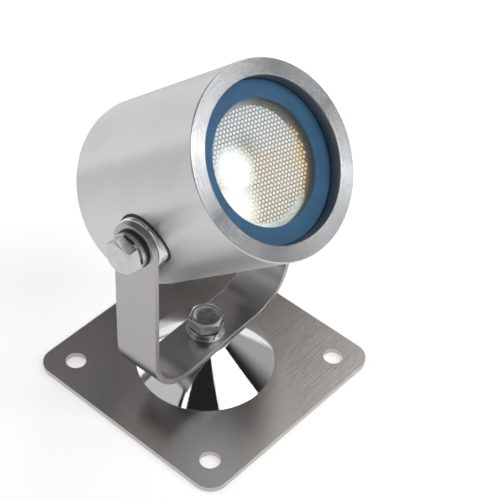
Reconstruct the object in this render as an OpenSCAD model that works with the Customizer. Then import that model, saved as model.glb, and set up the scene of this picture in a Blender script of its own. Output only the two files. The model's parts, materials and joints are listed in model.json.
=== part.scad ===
// Underwater pond light: a turned stainless lamp head on a U-shaped yoke, bolted to a polished
// cone on a square base plate. Millimetres, +Z up, origin at the centre of the plate's underside.
// The beam points to -Y and the tilt axis lies along X.

/* [Base] */
// Side of the square base plate
plate_side = 100; // [95:1:130]
// Thickness of the base plate
plate_t = 2.5; // [2:0.5:5]
// Radius of the plate's corners
plate_corner_r = 8; // [6:1:12]
// Distance between the fixing holes, the same both ways
hole_pitch = 76; // [68:1:76]
// Diameter of the fixing holes
hole_d = 8.4; // [5:0.2:9]
// Diameter of the cone at its foot
cone_foot_d = 58.4; // [50:0.2:62]
// Diameter of the cone at its top
cone_top_d = 21; // [18:0.5:24]
// Height of the cone
cone_h = 14.5; // [13:0.5:20]

/* [Yoke] */
// Width of the strip that the yoke is bent from
strip_w = 20; // [18:0.5:22]
// Thickness of that strip
strip_t = 2.5; // [2:0.5:3]
// Inside radius of the yoke's two bends
bend_r = 19; // [10:0.5:21]
// Height of the tilt axis above the ground
pivot_z = 95; // [92:1:120]
// Turn of the yoke on its base at rest, in degrees
swivel = 2; // [-170:1:170]

/* [Head] */
// Outside diameter of the lamp housing
body_d = 73.5; // [73:0.5:75]
// From the tilt axis to the front face
front_z = 44; // [44:1:46]
// From the tilt axis to the rear face
rear_z = 30; // [30:1:34]
// Diameter of the opening in the front face
mouth_d = 60.6; // [60.6:0.2:62]
// Clear diameter of the blue ring
window_d = 46.5; // [44:0.5:48]
// Depth of the blue ring below the front face
recess = 5.6; // [5:0.2:6]
// How far the beam's axis lies above the tilt axis
axis_lift = 5.7; // [4:0.1:7]
// Angle of the beam above the horizon at rest, in degrees
tilt = 40; // [-40:1:90]

/* [Pivots] */
// Diameter of the pivot bosses
boss_d = 21.2; // [20:0.2:22]
// Diameter of the rubber rings under the bosses
boss_seal_d = 22.6; // [22.4:0.2:25]
// Distance over the outer faces of both bosses
boss_span = 77.9; // [77.5:0.1:79]

/* [Hidden] */
$fn = 96;

eps = 0.02;              // overshoot of a cut past the face that it opens
turn_gap = 0.05;         // gap between faces that turn on each other
fit_gap = 0.08;          // radial gap between a bolt and a part that turns on it
seat_gap = 0.02;         // radial gap between parts that are screwed or pushed together

// M8 hexagon bolts and their washers
bolt_r = 4;
hex_flats = 13;
hex_head_h = 5.3;
spring_washer_r = 7.4;
spring_washer_t = 2;
flat_washer_r = 8;
flat_washer_t = 1.6;
rubber_washer_r = 7.8;
rubber_washer_t = 0.8;
pivot_hex_turn = 4;     // how the pivot bolts' hexagons stand on the head
yoke_hex_turn = 26;      // how the yoke bolt's hexagon stands on the base
yoke_bolt_depth = 14;    // length of thread in the pedestal
pivot_bolt_depth = 6.5;  // length of thread in a boss

// Base and yoke levels
cone_top_z = plate_t + cone_h;
strip_top_z = cone_top_z + turn_gap + strip_t;
pedestal_screw_r = 2.5;
pedestal_screw_ring_r = 18;
pedestal_screw_l = 8;
countersink_h = 2.2;

// Housing, measured along the beam from the tilt axis
body_r = body_d / 2;
mouth_r = mouth_d / 2;
chamber_r = body_r - 3.75;
window_r = window_d / 2;
edge_chamfer = 0.5;
ring_front = front_z - recess;
ring_t = 1.2;
ring_skirt_t = 1.3;
glass_t = 3;
glass_r = mouth_r - ring_skirt_t - 0.1;
glass_front = ring_front - ring_t;
glass_back = glass_front - glass_t;
seal_t = 1.4;
shoulder_z = glass_back - seal_t;
shoulder_t = 3;
shoulder_r = 26.3;
flange_t = 3.5;
flange_r = 26;
cover_t = 4;
cover_r = body_r - 2.25;
cover_front = -rear_z + cover_t;
flange_front = cover_front + flange_t;
rear_screw_ring_r = 30.4;
rear_screw_r = 2;
rear_groove_r = 27.4;
cord_r = 0.8;            // half the thickness of the rear seal

// Lamp capsule
lamp_r = 25;
lens_r = 24;
lens_t = 2.4;
lens_front = glass_back - 0.2;
lens_back = lens_front - lens_t;
bowl_wall = 1.6;
bowl_back_z = 8;
bowl_neck_r = 10.5;
board_r = 10.3;
board_t = 1.6;
board_z = bowl_back_z + board_t;
lamp_base_back = -4;
pin_pitch = 5.33;
pin_r = 0.75;
pin_l = 6.5;
socket_h = 9;
socket_back = lamp_base_back - 0.2 - socket_h;
lead_r = 0.9;
lead_bend = 1.6;

// Control board behind the lamp
control_r = 24.5;
control_hole_r = 5;
spacer_h = 6;
spacer_r = 2.8;
spacer_ring_r = 20;
control_back = cover_front + spacer_h;
control_front = control_back + board_t;

// Pivot bosses, measured along X
boss_face = boss_span / 2;
boss_r = boss_d / 2;
boss_shank_r = 8;
boss_inner = chamber_r - 3.5;
boss_seal_t = 0.4;
arm_inner = boss_face + turn_gap;
arm_outer = arm_inner + strip_t;
pivot_stack = arm_outer + turn_gap;

// Cable gland on the back, measured backwards from the cover's outer face
gland_r = 8;
gland_inner_l = 4;       // length of thread inside the cover
gland_hole_r = 3.6;
gland_seal_t = 1;
gland_flats = 20;
gland_hex_h = 4.5;
gland_thread_l = 8;
gland_nut_r = 10.2;
gland_nut_gap = 0.5;
gland_nut_h = 14;
gland_insert_r = 6.2;

steel = "silver";
polished = "gainsboro";
black = [0.08, 0.08, 0.09];

// ---- Frames -------------------------------------------------------------------------------

// On the yoke: turned about the base bolt
module on_yoke() { rotate([0, 0, swivel]) children(); }

// On the tilt axis: +Z along the beam, +Y up from it
module on_head() { on_yoke() translate([0, 0, pivot_z]) rotate([90 - tilt, 0, 0]) children(); }

// On the housing's own axis
module on_beam() { on_head() translate([0, axis_lift, 0]) children(); }

// Behind the rear cover, with +Z pointing back along the cord's way out
module on_gland() { on_beam() translate([0, 0, -rear_z]) rotate([180, 0, 0]) children(); }

// At both pivots, with +Z pointing outwards along the tilt axis
module at_pivots() { for (side = [-1, 1]) on_head() rotate([0, 90 * side, 0]) children(); }

// ---- Shared shapes ------------------------------------------------------------------------

// A tube from z0 up to z1
module tube(r_out, r_in, z0, z1) {
    translate([0, 0, z0]) difference() {
        cylinder(r = r_out, h = z1 - z0);
        translate([0, 0, -eps]) cylinder(r = r_in, h = z1 - z0 + 2 * eps);
    }
}

// A solid round from z0 up to z1
module round_bar(r, z0, z1) { translate([0, 0, z0]) cylinder(r = r, h = z1 - z0); }

// A hexagonal prism with its corners turned off at the outer end
module hex_block(flats, h, turn) {
    corner_r = flats / sqrt(3);
    intersection() {
        rotate([0, 0, turn]) cylinder(r = corner_r, h = h, $fn = 6);
        translate([0, 0, -corner_r]) cylinder(r1 = 2.73 * corner_r, r2 = flats / 2 - 0.2, h = h + corner_r);
    }
}

// A hexagon bolt with its head on z = 0 and its thread below
module hex_bolt(length, turn) {
    hex_block(hex_flats, hex_head_h, turn);
    round_bar(bolt_r, -length, 0.5);
}

// A split spring washer standing on z = 0
module spring_washer() {
    difference() {
        tube(spring_washer_r, bolt_r + 0.15, 0, spring_washer_t);
        translate([bolt_r - 1, 0, spring_washer_t / 2]) rotate([35, 0, 0])
            translate([0, -0.35, -spring_washer_t * 2]) cube([6, 0.7, spring_washer_t * 4]);
    }
}

// A countersunk screw with its head's flat face on z = 0 and its thread above
module countersunk_screw(r, length, head_h) {
    cylinder(r1 = r + head_h - 0.2, r2 = r, h = head_h);
    cylinder(r = r, h = length);
    // the flat rim of the head
    cylinder(r = r + head_h - 0.2, h = 0.2);
}

// The flared mouth of a hole for such a screw, opening at z = 0
module countersink(r) {
    translate([0, 0, -eps]) cylinder(r1 = r + countersink_h + eps, r2 = r, h = countersink_h + eps);
}

// Copies around the axis at a given radius
module ring_of(count, radius, start = 0) {
    for (i = [0 : count - 1]) rotate([0, 0, start + i * 360 / count]) translate([radius, 0, 0]) children();
}

// ---- Base ---------------------------------------------------------------------------------

module base_plate() {
    color(steel) difference() {
        linear_extrude(plate_t) union() {
            square([plate_side, plate_side - 2 * plate_corner_r], center = true);
            square([plate_side - 2 * plate_corner_r, plate_side], center = true);
            for (x = [-1, 1], y = [-1, 1])
                translate([x, y] * (plate_side / 2 - plate_corner_r)) circle(r = plate_corner_r);
        }
        for (x = [-1, 1], y = [-1, 1])
            translate([x * hole_pitch / 2, y * hole_pitch / 2, -eps])
                cylinder(d = hole_d, h = plate_t + 2 * eps);
        ring_of(3, pedestal_screw_ring_r, 90) {
            translate([0, 0, -eps]) cylinder(r = pedestal_screw_r + seat_gap, h = plate_t + 2 * eps);
            countersink(pedestal_screw_r);
        }
    }
}

module cone_pedestal() {
    color(polished) difference() {
        translate([0, 0, plate_t]) cylinder(r1 = cone_foot_d / 2, r2 = cone_top_d / 2, h = cone_h);
        round_bar(bolt_r + seat_gap, cone_top_z - yoke_bolt_depth, cone_top_z + eps);
        ring_of(3, pedestal_screw_ring_r, 90)
            round_bar(pedestal_screw_r + seat_gap, plate_t - eps, pedestal_screw_l);
    }
}

module pedestal_screws() {
    color(steel) ring_of(3, pedestal_screw_ring_r, 90)
        countersunk_screw(pedestal_screw_r, pedestal_screw_l - 0.3, countersink_h);
}

module yoke_flat_washer() {
    z0 = strip_top_z + turn_gap;
    color(steel) tube(flat_washer_r, bolt_r + 0.2, z0, z0 + flat_washer_t);
}

module yoke_spring_washer() {
    color(polished) translate([0, 0, strip_top_z + turn_gap + flat_washer_t]) rotate([0, 0, 250])
        spring_washer();
}

module yoke_bolt() {
    seat = strip_top_z + turn_gap + flat_washer_t + spring_washer_t;
    color(steel) translate([0, 0, seat])
        hex_bolt(seat - cone_top_z + yoke_bolt_depth - 1, yoke_hex_turn);
}

// ---- Yoke ---------------------------------------------------------------------------------

// Side view of the bent strip, drawn in x and z
module yoke_outline(half_span, r) {
    floor_z = strip_top_z - strip_t + (arm_outer - half_span);
    translate([-half_span, floor_z + r]) square([2 * half_span, pivot_z + strip_w]);
    translate([-half_span + r, floor_z]) square([2 * (half_span - r), r + eps]);
    for (side = [-1, 1]) translate([side * (half_span - r), floor_z + r]) circle(r = r);
}

module yoke() {
    color(steel) on_yoke() intersection() {
        rotate([90, 0, 0]) difference() {
            linear_extrude(strip_w, center = true) difference() {
                yoke_outline(arm_outer, bend_r + strip_t);
                yoke_outline(arm_inner, bend_r);
            }
            translate([0, strip_top_z - strip_t / 2, 0]) rotate([90, 0, 0])
                cylinder(r = bolt_r + fit_gap, h = strip_t + 1, center = true);
            translate([0, pivot_z, 0]) rotate([0, 90, 0])
                cylinder(r = bolt_r + fit_gap, h = 2 * arm_outer + 1, center = true);
        }
        // rounds off the tops of both arms
        union() {
            translate([-arm_outer - 1, -strip_w / 2, 0]) cube([2 * arm_outer + 2, strip_w, pivot_z]);
            translate([0, 0, pivot_z]) rotate([0, 90, 0])
                cylinder(r = strip_w / 2, h = 2 * arm_outer + 2, center = true);
        }
    }
}

// ---- Housing and pivots -------------------------------------------------------------------

module lamp_housing() {
    color(steel) difference() {
        on_beam() rotate_extrude() polygon([
            [mouth_r + edge_chamfer, front_z], [body_r - edge_chamfer, front_z],
            [body_r, front_z - edge_chamfer],
            [body_r, -rear_z + edge_chamfer], [body_r - edge_chamfer, -rear_z],
            [cover_r, -rear_z], [cover_r, cover_front], [flange_r, cover_front],
            [flange_r, flange_front], [chamber_r, flange_front],
            [chamber_r, shoulder_z - shoulder_t], [shoulder_r, shoulder_z - shoulder_t],
            [shoulder_r, shoulder_z], [mouth_r, shoulder_z], [mouth_r, front_z - edge_chamfer]]);
        at_pivots() round_bar(boss_shank_r, boss_inner - 1, body_r + 2);
        on_beam() ring_of(4, rear_screw_ring_r, 45)
            round_bar(rear_screw_r + seat_gap, cover_front - eps, flange_front + eps);
    }
}

module pivot_bosses() {
    color(polished) difference() {
        at_pivots() union() {
            round_bar(boss_shank_r - seat_gap, boss_inner, boss_face - 0.5);
            difference() {
                round_bar(boss_r, chamber_r - 2, boss_face - 0.6);
                saddle_cut(body_r + boss_seal_t, boss_shank_r - seat_gap);
            }
            // outer edge of the boss, lightly chamfered
            translate([0, 0, boss_face - 0.6]) cylinder(r1 = boss_r, r2 = boss_r - 0.6, h = 0.6);
        }
        at_pivots() round_bar(bolt_r + seat_gap, boss_face - pivot_bolt_depth - 1, boss_face + eps);
    }
}

// What a boss gives up to the housing: everything inside radius r, but for its own shank
module saddle_cut(r, shank_r) {
    difference() {
        translate([0, axis_lift, 0]) rotate([0, 90, 0]) cylinder(r = r, h = 4 * boss_seal_d, center = true);
        cylinder(r = shank_r, h = 2 * body_r);
    }
}

module boss_seals() {
    color(black) intersection() {
        at_pivots() tube(boss_seal_d / 2, boss_shank_r, chamber_r - 6, body_r + 2);
        on_beam() tube(body_r + boss_seal_t, body_r, -2 * boss_seal_d, 2 * boss_seal_d);
    }
}

module pivot_rubber_washers() {
    color(black) at_pivots() tube(rubber_washer_r, bolt_r + 0.1, pivot_stack, pivot_stack + rubber_washer_t);
}

module pivot_spring_washers() {
    color(polished) at_pivots() translate([0, 0, pivot_stack + rubber_washer_t]) rotate([0, 0, 200])
        spring_washer();
}

module pivot_bolts() {
    seat = pivot_stack + rubber_washer_t + spring_washer_t;
    color(steel) at_pivots() translate([0, 0, seat])
        hex_bolt(seat - boss_face + pivot_bolt_depth, pivot_hex_turn);
}

// ---- Front of the lamp --------------------------------------------------------------------

module blue_lens_ring() {
    color([0.20, 0.35, 0.52]) on_beam() rotate_extrude() polygon([
        [window_r + 0.3, ring_front], [mouth_r - 0.25, ring_front], [mouth_r - 0.1, ring_front - 0.3],
        [mouth_r - 0.1, shoulder_z + 0.1], [mouth_r - ring_skirt_t, shoulder_z + 0.1],
        [mouth_r - ring_skirt_t, glass_front], [window_r, glass_front], [window_r, ring_front - 0.3]]);
}

module front_glass() {
    color("lightcyan", 0.4) on_beam() round_bar(glass_r, glass_back, glass_front);
}

module glass_seal() {
    color(black) on_beam() tube(glass_r - 0.1, shoulder_r + 0.4, shoulder_z, glass_back);
}

module lamp_cover_lens() {
    color("ivory", 0.8) on_beam() round_bar(lens_r, lens_back, lens_front);
}

// The bowl's profile is a quarter of a sine wave from its neck to its rim
module lamp_reflector() {
    steps = 12;
    rim_r = lamp_r - bowl_wall;
    bowl_h = lens_front - bowl_back_z;
    flare = rim_r - bowl_neck_r;
    wall = function (h, grow) [bowl_neck_r + grow + flare * sin(90 * h / bowl_h), bowl_back_z + h];
    inner = [for (i = [0 : steps]) wall(i / steps * (lens_back - bowl_back_z), 0)];
    outer = [for (i = [steps : -1 : 0]) wall(i / steps * bowl_h, bowl_wall)];
    color(polished) on_beam() rotate_extrude()
        polygon(concat(inner, [[lens_r + seat_gap, lens_back], [lens_r + seat_gap, lens_front]], outer));
}

module led_board() {
    color("darkgreen") on_beam() round_bar(board_r, bowl_back_z, board_z);
}

module led_emitters() {
    colours = ["red", "green", "blue"];
    for (i = [0 : 2]) color(colours[i]) on_beam() rotate([0, 0, 90 + i * 120]) translate([4.2, 0, board_z]) {
        translate([-1.75, -1.75, 0]) cube([3.5, 3.5, 0.9]);
        intersection() {
            translate([0, 0, 0.9 - eps]) sphere(r = 1.5, $fn = 48);
            round_bar(2, 0.5, 3);
        }
    }
}

// ---- Inside the housing -------------------------------------------------------------------

module lamp_base() {
    color("white") on_beam() difference() {
        union() {
            round_bar(bowl_neck_r + bowl_wall, bowl_back_z - 3, bowl_back_z);
            translate([-9, -5, lamp_base_back]) cube([18, 10, bowl_back_z - lamp_base_back - 1]);
        }
        for (side = [-1, 1]) translate([side * pin_pitch / 2, 0, lamp_base_back - eps])
            cylinder(r = pin_r, h = 5);
    }
}

module lamp_pins() {
    color(steel) on_beam() for (side = [-1, 1]) translate([side * pin_pitch / 2, 0, lamp_base_back - pin_l])
        cylinder(r = pin_r - 0.01, h = pin_l + 4.5);
}

module lamp_socket() {
    color("white") on_beam() difference() {
        translate([-9, -5.5, socket_back]) cube([18, 11, socket_h]);
        for (side = [-1, 1]) translate([side * pin_pitch / 2, 0, 0]) {
            round_bar(pin_r + 0.05, lamp_base_back - pin_l - 0.5, 0);
            round_bar(lead_r + 0.05, socket_back - eps, socket_back + 2);
        }
    }
}

// Two insulated leads from the back of the socket, bent outwards and down onto the board
module socket_leads() {
    run = 1.5;
    start_x = pin_pitch / 2;
    turn_x = start_x + lead_bend + run;
    turn_z = socket_back - lead_bend;
    color("firebrick") on_beam() for (side = [0, 180]) rotate([0, 0, side]) {
        translate([start_x, 0, 0]) round_bar(lead_r, socket_back, socket_back + 1.8);
        translate([start_x + lead_bend, 0, socket_back]) rotate([90, 0, 0]) rotate([0, 0, 180]) lead_elbow();
        translate([start_x + lead_bend, 0, turn_z]) rotate([0, 90, 0]) cylinder(r = lead_r, h = run);
        translate([turn_x, 0, turn_z - lead_bend]) rotate([90, 0, 0]) lead_elbow();
        translate([turn_x + lead_bend, 0, 0]) round_bar(lead_r, control_front, turn_z - lead_bend);
    }
}

// A quarter bend in a lead
module lead_elbow() { rotate_extrude(angle = 90) translate([lead_bend, 0]) circle(r = lead_r); }

// A soft ring that centres the lamp's rim in the shoulder
module lamp_cushion() {
    color("gainsboro") on_beam() tube(shoulder_r - 0.05, lamp_r + 0.05, shoulder_z - shoulder_t, shoulder_z);
}

module control_board() {
    color("darkgreen") on_beam() difference() {
        tube(control_r, control_hole_r, control_back, control_front);
        ring_of(3, spacer_ring_r, 90) round_bar(1.6, control_back - 1, control_front + 1);
    }
}

module control_parts() {
    color(black) on_beam() translate([0, 0, control_front]) {
        translate([4, -17, 0]) cube([7, 5, 1.8]);
        translate([-12, -18, 0]) cube([6, 6, 1.5]);
        translate([13, 9, 0]) cylinder(r = 2.5, h = 5);
        translate([-14, 9, 0]) cylinder(r = 2.5, h = 5);
    }
}

module board_spacers() {
    color("gold") on_beam() ring_of(3, spacer_ring_r, 90)
        tube(spacer_r, 1.5 + seat_gap, cover_front, control_back);
}

module board_screws() {
    color(steel) on_beam() ring_of(3, spacer_ring_r, 90) {
        round_bar(1.5, cover_front - 2, control_front);
        round_bar(2.7, control_front, control_front + 1.6);
    }
}

// ---- Back and cable gland -----------------------------------------------------------------

module rear_cover() {
    color(steel) on_beam() difference() {
        round_bar(cover_r - seat_gap, -rear_z, cover_front);
        round_bar(gland_r + seat_gap, -rear_z - eps, cover_front + eps);
        tube(rear_groove_r + cord_r, rear_groove_r - cord_r, cover_front - 1.3, cover_front + eps);
        ring_of(4, rear_screw_ring_r, 45) {
            round_bar(rear_screw_r + seat_gap, -rear_z - eps, cover_front + eps);
            translate([0, 0, -rear_z]) countersink(rear_screw_r);
        }
        ring_of(3, spacer_ring_r, 90) round_bar(1.5 + seat_gap, cover_front - 2.2, cover_front + eps);
    }
}

module rear_seal() {
    color(black) on_beam() tube(rear_groove_r + cord_r - 0.05, rear_groove_r - cord_r + 0.05,
                                cover_front - 1.28, cover_front);
}

module rear_screws() {
    color(steel) on_beam() translate([0, 0, -rear_z]) ring_of(4, rear_screw_ring_r, 45)
        countersunk_screw(rear_screw_r, cover_t + flange_t - 0.3, countersink_h);
}

module gland_body() {
    insert_z = gland_seal_t + gland_hex_h;
    color("whitesmoke") on_gland() difference() {
        union() {
            round_bar(gland_r, -cover_t - gland_inner_l, gland_seal_t + 0.5);
            translate([0, 0, gland_seal_t]) hex_block(gland_flats, gland_hex_h, 0);
            round_bar(gland_r - 0.1, gland_seal_t + 1, insert_z + gland_thread_l);
        }
        round_bar(gland_hole_r, -cover_t - gland_inner_l - 1, insert_z + gland_thread_l + 1);
        round_bar(gland_insert_r + seat_gap, insert_z, insert_z + gland_thread_l + 1);
    }
}

module gland_seal() {
    color(black) on_gland() tube(gland_r + 2.2, gland_r, 0, gland_seal_t);
}

module gland_lock_nut() {
    color("whitesmoke") on_gland() difference() {
        translate([0, 0, -cover_t - 3.5]) cylinder(r = 24 / sqrt(3), h = 3.5, $fn = 6);
        round_bar(gland_r + seat_gap, -cover_t - 4, 0);
    }
}

module gland_insert() {
    z0 = gland_seal_t + gland_hex_h;
    color(black) on_gland() tube(gland_insert_r, gland_hole_r - 0.2, z0, z0 + gland_thread_l + 1.5);
}

module gland_cap_nut() {
    z0 = gland_seal_t + gland_hex_h + gland_nut_gap;
    step_z = z0 + gland_thread_l - gland_nut_gap + 2;
    color("whitesmoke") on_gland() rotate_extrude() polygon([
        [gland_r, z0], [gland_nut_r - 0.4, z0], [gland_nut_r, z0 + 0.4], [gland_nut_r, z0 + 7],
        [gland_nut_r - 0.8, z0 + 9.5], [gland_nut_r - 3, z0 + gland_nut_h - 0.8],
        [gland_nut_r - 4, z0 + gland_nut_h], [gland_hole_r + 0.2, z0 + gland_nut_h],
        [gland_hole_r + 0.2, step_z], [gland_r, step_z]]);
}

base_plate();
cone_pedestal();
pedestal_screws();
yoke_bolt();
yoke_spring_washer();
yoke_flat_washer();
yoke();
lamp_housing();
pivot_bosses();
boss_seals();
pivot_bolts();
pivot_spring_washers();
pivot_rubber_washers();
blue_lens_ring();
front_glass();
glass_seal();
lamp_cover_lens();
lamp_reflector();
led_board();
led_emitters();
lamp_base();
lamp_pins();
lamp_cushion();
lamp_socket();
socket_leads();
control_board();
control_parts();
board_spacers();
board_screws();
rear_cover();
rear_seal();
rear_screws();
gland_body();
gland_seal();
gland_lock_nut();
gland_insert();
gland_cap_nut();
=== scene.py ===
"""Underwater pond light: the looks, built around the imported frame.

Lengths inside the builders are millimetres in a local frame; each object's matrix turns them
into metres in the row frame. The local frames follow the record's joints and mounts.
"""

import json
import math

import bmesh
import bpy
import numpy as np
from mathutils import Matrix, Vector


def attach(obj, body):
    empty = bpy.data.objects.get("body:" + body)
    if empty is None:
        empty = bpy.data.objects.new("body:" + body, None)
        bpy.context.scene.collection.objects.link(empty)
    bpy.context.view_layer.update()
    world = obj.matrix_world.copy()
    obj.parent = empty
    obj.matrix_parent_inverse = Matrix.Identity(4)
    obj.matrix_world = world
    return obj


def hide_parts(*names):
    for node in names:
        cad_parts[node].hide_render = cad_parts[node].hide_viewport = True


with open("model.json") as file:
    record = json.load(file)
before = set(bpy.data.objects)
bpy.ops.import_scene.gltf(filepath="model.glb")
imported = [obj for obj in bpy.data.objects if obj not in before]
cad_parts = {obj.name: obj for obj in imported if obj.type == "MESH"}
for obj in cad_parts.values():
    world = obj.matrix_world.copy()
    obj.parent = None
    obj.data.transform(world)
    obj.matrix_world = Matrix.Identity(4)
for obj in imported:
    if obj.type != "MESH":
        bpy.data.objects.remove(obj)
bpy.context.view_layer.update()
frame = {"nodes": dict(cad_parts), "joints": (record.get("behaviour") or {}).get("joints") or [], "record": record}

MM = 0.001
# an M8 hexagon head, and how far round its axis each one stands
HEX_FLATS = 13.0
YOKE_HEX_TURN = 56.0
PIVOT_HEX_TURN = 34.0
SHANK_R = 4.0
JOINTS = {j["name"]: j for j in frame["joints"]}
MOUNTS = {m["name"]: m for m in frame["record"]["mounts"]}


# ---- Local frames --------------------------------------------------------------------------

def basis(origin, x_axis, z_axis):
    """A matrix from local millimetres to the row frame in metres."""
    z = Vector(z_axis).normalized()
    x = Vector(x_axis)
    x = (x - z * x.dot(z)).normalized()
    y = z.cross(x)
    turn = Matrix((x, y, z)).transposed().to_4x4()
    return Matrix.Translation(Vector(origin)) @ turn @ Matrix.Scale(MM, 4)


def shift(x=0.0, y=0.0, z=0.0):
    return Matrix.Translation((x, y, z))


def turn(degrees, axis):
    return Matrix.Rotation(math.radians(degrees), 4, axis)


tilt_axis = Vector(JOINTS["head_tilt"]["axis"])
tilt_pos = Vector(JOINTS["head_tilt"]["pos_m"])
beam = -Vector(MOUNTS["cord_entry"]["axis"])

BASE = Matrix.Scale(MM, 4)
YOKE = basis((0, 0, 0), tilt_axis, (0, 0, 1))
HEAD = basis(tilt_pos, tilt_axis, beam)
axis_lift = (HEAD.inverted() @ Vector(MOUNTS["cord_entry"]["pos_m"])).y
BEAM = HEAD @ shift(y=axis_lift)
PIVOTS = {"left": HEAD @ turn(-90, "Y"), "right": HEAD @ turn(90, "Y")}


def local_points(node, matrix):
    """A CAD node's corners in a local frame, in millimetres."""
    to_local = matrix.inverted()
    return np.array([to_local @ v.co for v in frame["nodes"][node].data.vertices])


def span(node, matrix, axis=2, side=0):
    """Lowest and highest value along a local axis; side picks the half above or below x = 0."""
    p = local_points(node, matrix)
    if side:
        p = p[p[:, 0] * side > 0]
    return float(p[:, axis].min()), float(p[:, axis].max())


def reach(node, matrix, near=None):
    """Largest distance from a local Z axis; near keeps only the points within that height."""
    p = local_points(node, matrix)
    if near is not None:
        p = p[(p[:, 2] > near[0]) & (p[:, 2] < near[1])]
    return float(np.hypot(p[:, 0], p[:, 1]).max())


# ---- Mesh builders -------------------------------------------------------------------------

def new_object(name, bm, matrix):
    """Turns a bmesh into an object that stands in the row frame."""
    mesh = bpy.data.meshes.new(name)
    bmesh.ops.recalc_face_normals(bm, faces=bm.faces)
    bm.to_mesh(mesh)
    bm.free()
    obj = bpy.data.objects.new(name, mesh)
    bpy.context.scene.collection.objects.link(obj)
    obj.matrix_world = matrix
    return obj


def smooth(obj, degrees=32, weighted=True):
    """Smooth shading with sharp edges above an angle."""
    obj.data.shade_smooth()
    obj.data.set_sharp_from_angle(angle=math.radians(degrees))
    if weighted:
        m = obj.modifiers.new("normals", "WEIGHTED_NORMAL")
        m.keep_sharp = True
        m.weight = 80
    return obj


def soften(points, radius, steps=4):
    """Rounds every corner of a closed outline. A point may carry its own radius as a third value."""
    out = []
    n = len(points)
    for i in range(n):
        p = Vector(points[i][:2])
        r = points[i][2] if len(points[i]) > 2 else radius
        a = Vector(points[i - 1][:2])
        b = Vector(points[(i + 1) % n][:2])
        u, v = (a - p), (b - p)
        lu, lv = u.length, v.length
        if r <= 0 or lu < 1e-6 or lv < 1e-6:
            out.append((p.x, p.y))
            continue
        u.normalize()
        v.normalize()
        half = u.angle(v) / 2
        if half > math.radians(88):
            out.append((p.x, p.y))
            continue
        cut = min(r / math.tan(half), 0.48 * lu, 0.48 * lv)
        r = cut * math.tan(half)
        centre = p + (u + v).normalized() * (r / math.sin(half))
        s, e = p + u * cut - centre, p + v * cut - centre
        a0 = math.atan2(s.y, s.x)
        sweep = (math.atan2(e.y, e.x) - a0 + math.pi) % (2 * math.pi) - math.pi
        for k in range(steps + 1):
            t = a0 + sweep * k / steps
            out.append((centre.x + r * math.cos(t), centre.y + r * math.sin(t)))
    return out


def bridge(bm, pairs):
    """Joins each pair of point rings with a band of four-sided faces."""
    for a, b in pairs:
        for i in range(len(a)):
            j = (i + 1) % len(a)
            bm.faces.new((a[i], a[j], b[j], b[i]))


def lathe(name, profile, matrix, body, segments=144, closed=True, angle=32):
    """Turns an outline of (radius, height) about the local Z axis."""
    bm = bmesh.new()
    rings = []
    for r, z in profile:
        if r < 1e-4:
            rings.append([bm.verts.new((0, 0, z))])
        else:
            rings.append([bm.verts.new((r * math.cos(t), r * math.sin(t), z))
                          for t in (2 * math.pi * i / segments for i in range(segments))])
    pairs = list(zip(rings, rings[1:] + ([rings[0]] if closed else [])))
    pairs = pairs if closed else pairs[:len(rings) - 1]
    for a, b in pairs:
        if len(a) == 1 and len(b) == 1:
            continue
        for i in range(segments):
            j = (i + 1) % segments
            if len(a) == 1:
                bm.faces.new((a[0], b[i], b[j]))
            elif len(b) == 1:
                bm.faces.new((a[i], a[j], b[0]))
            else:
                bm.faces.new((a[i], a[j], b[j], b[i]))
    obj = smooth(new_object(name, bm, matrix), angle)
    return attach(obj, body)


def tube_profile(r_in, r_out, z0, z1, radius=0.2, steps=3):
    """The outline of a plain ring for lathe, with rounded edges."""
    return soften([(r_in, z0), (r_out, z0), (r_out, z1), (r_in, z1)], radius, steps)


def extrude(name, outline, z0, z1, matrix):
    """A straight prism over a flat outline."""
    bm = bmesh.new()
    low = [bm.verts.new((x, y, z0)) for x, y in outline]
    high = [bm.verts.new((x, y, z1)) for x, y in outline]
    bm.faces.new(low)
    bm.faces.new(high)
    bridge(bm, [(low, high)])
    return new_object(name, bm, matrix)


def circle_points(radius, count, centre=(0, 0)):
    """A circle as an outline for extrude."""
    return [(centre[0] + radius * math.cos(2 * math.pi * i / count),
             centre[1] + radius * math.sin(2 * math.pi * i / count)) for i in range(count)]


def boolean(obj, cutter, operation):
    """Applies one exact boolean and removes the cutter."""
    m = obj.modifiers.new("cut", "BOOLEAN")
    m.operation = operation
    m.solver = "EXACT"
    m.object = cutter
    bpy.context.view_layer.update()
    result = bpy.data.meshes.new_from_object(obj.evaluated_get(bpy.context.evaluated_depsgraph_get()))
    obj.modifiers.remove(m)
    old, name = obj.data, obj.data.name
    obj.data = result
    bpy.data.meshes.remove(old)
    obj.data.name = name
    bpy.data.objects.remove(cutter)


def bevel(obj, width, segments=3, degrees=35):
    """Rounds the edges sharper than an angle; the width is in local millimetres."""
    m = obj.modifiers.new("bevel", "BEVEL")
    m.width = width
    m.segments = segments
    m.limit_method = "ANGLE"
    m.angle_limit = math.radians(degrees)
    m.harden_normals = False


# ---- Fasteners -----------------------------------------------------------------------------

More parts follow.
